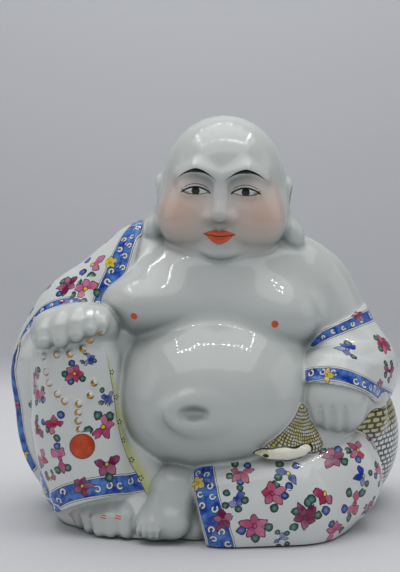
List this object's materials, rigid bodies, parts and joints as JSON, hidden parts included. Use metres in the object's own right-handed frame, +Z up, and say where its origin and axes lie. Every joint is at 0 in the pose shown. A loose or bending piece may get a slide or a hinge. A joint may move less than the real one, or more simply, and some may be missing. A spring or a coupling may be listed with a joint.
{
  "type": "budai figure",
  "caption": "Seated laughing Budai in enamelled porcelain: a bald, big-bellied monk in a patterned robe, one hand with beads on a raised knee, set down as an ornament.",
  "frame": {"origin": "on the table under the middle of the figure's bounding box, on the flat underside", "axes": "+Z up from the table to the crown of the head; the figure faces -Y; +X is to its left hand"},
  "size_m": [0.2486, 0.1714, 0.2499],
  "materials": {
    "glazed_porcelain": "clear gloss glaze over bluish-white porcelain, painted with overglaze enamels"
  },
  "bodies": {
    "root": {"figure": "glazed_porcelain"}
  },
  "joints": []
}
